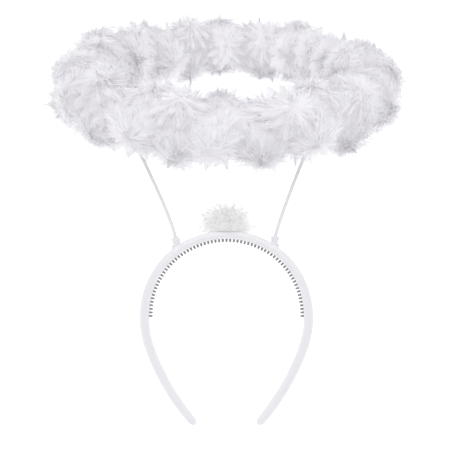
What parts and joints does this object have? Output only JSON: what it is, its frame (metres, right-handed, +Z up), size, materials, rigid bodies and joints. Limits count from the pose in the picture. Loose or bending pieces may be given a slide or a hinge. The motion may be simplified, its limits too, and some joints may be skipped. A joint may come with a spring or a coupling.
{
  "type": "halo headband",
  "caption": "White plastic headband with comb teeth inside, bowed stems on top and a raised halo of fluffy marabou, with a small pompom on the crown.",
  "frame": {"origin": "on the surface that the part lies on, under the middle of its bounding box", "axes": "+Z up from the surface; +Y along it from the tips of the band's legs to the back of the halo; +X to the wearer's left, which is the right of a viewer who faces the front"},
  "size_m": [0.2684, 0.3552, 0.1818],
  "materials": {
    "band_plastic": "gloss",
    "stem_plastic": "gloss",
    "marabou_fluff": "matte",
    "pompom_fluff": "matte"
  },
  "bodies": {
    "root": {"headband": "band_plastic", "stem_left": "stem_plastic", "stem_right": "stem_plastic", "halo_ring": "stem_plastic", "marabou": "marabou_fluff", "pompom": "pompom_fluff"}
  },
  "joints": []
}
